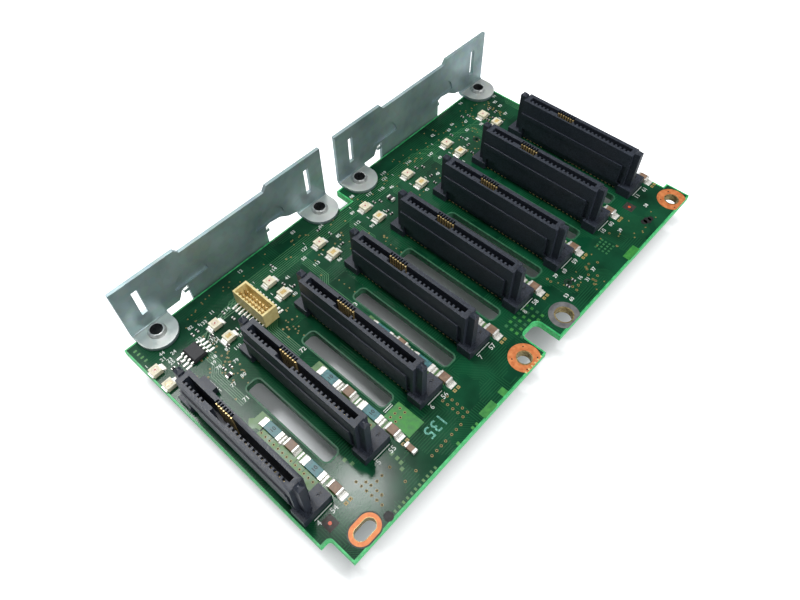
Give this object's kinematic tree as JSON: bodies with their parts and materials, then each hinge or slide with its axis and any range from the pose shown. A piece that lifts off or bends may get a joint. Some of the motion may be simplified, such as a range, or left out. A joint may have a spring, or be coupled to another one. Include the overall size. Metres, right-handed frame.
{
  "type": "drive backplane board",
  "caption": "Green circuit board with a row of upright black drive connectors, two galvanised brackets along one edge, air slots and sockets on the far side.",
  "frame": {"origin": "centre of the middle mounting hole on the component face of the board", "axes": "+X along the row of drive connectors, +Y towards the bracket edge, +Z out of the component face"},
  "size_m": [0.1401, 0.0803, 0.0276],
  "materials": {
    "board_laminate": "satin solder mask over glass laminate",
    "connector_black": "matt moulded",
    "contact_gold": "gold plated",
    "galvanised_sheet": "satin zinc coat",
    "rivet_steel": "plain",
    "lamp_body": "smooth",
    "terminal_metal": "tinned",
    "ceramic_brown": "fired ceramic",
    "fuse_teal": "smooth",
    "chip_black": "matt moulded",
    "header_cream": "moulded",
    "socket_shell": "satin"
  },
  "bodies": {
    "root": {"circuit_board": "board_laminate", "drive_connector_1": "connector_black", "drive_contacts_1": "contact_gold", "drive_connector_2": "connector_black", "drive_contacts_2": "contact_gold", "drive_connector_3": "connector_black", "drive_contacts_3": "contact_gold", "drive_connector_4": "connector_black", "drive_contacts_4": "contact_gold", "drive_connector_5": "connector_black", "drive_contacts_5": "contact_gold", "drive_connector_6": "connector_black", "drive_contacts_6": "contact_gold", "drive_connector_7": "connector_black", "drive_contacts_7": "contact_gold", "drive_connector_8": "connector_black", "drive_contacts_8": "contact_gold", "bracket_left": "galvanised_sheet", "bracket_right": "galvanised_sheet", "bracket_rivets": "rivet_steel", "activity_lamps": "lamp_body", "fault_lamps": "lamp_body", "lamp_terminals": "terminal_metal", "foot_capacitors": "ceramic_brown", "row_capacitors": "ceramic_brown", "capacitor_caps": "terminal_metal", "drive_fuses": "fuse_teal", "fuse_caps": "terminal_metal", "memory_chip": "chip_black", "memory_chip_leads": "terminal_metal", "ribbon_header": "header_cream", "ribbon_header_pins": "contact_gold", "data_socket_shell_left": "socket_shell", "data_socket_core_left": "connector_black", "data_socket_shell_right": "socket_shell", "data_socket_core_right": "connector_black", "power_socket": "connector_black", "power_socket_pins": "terminal_metal"}
  },
  "joints": []
}
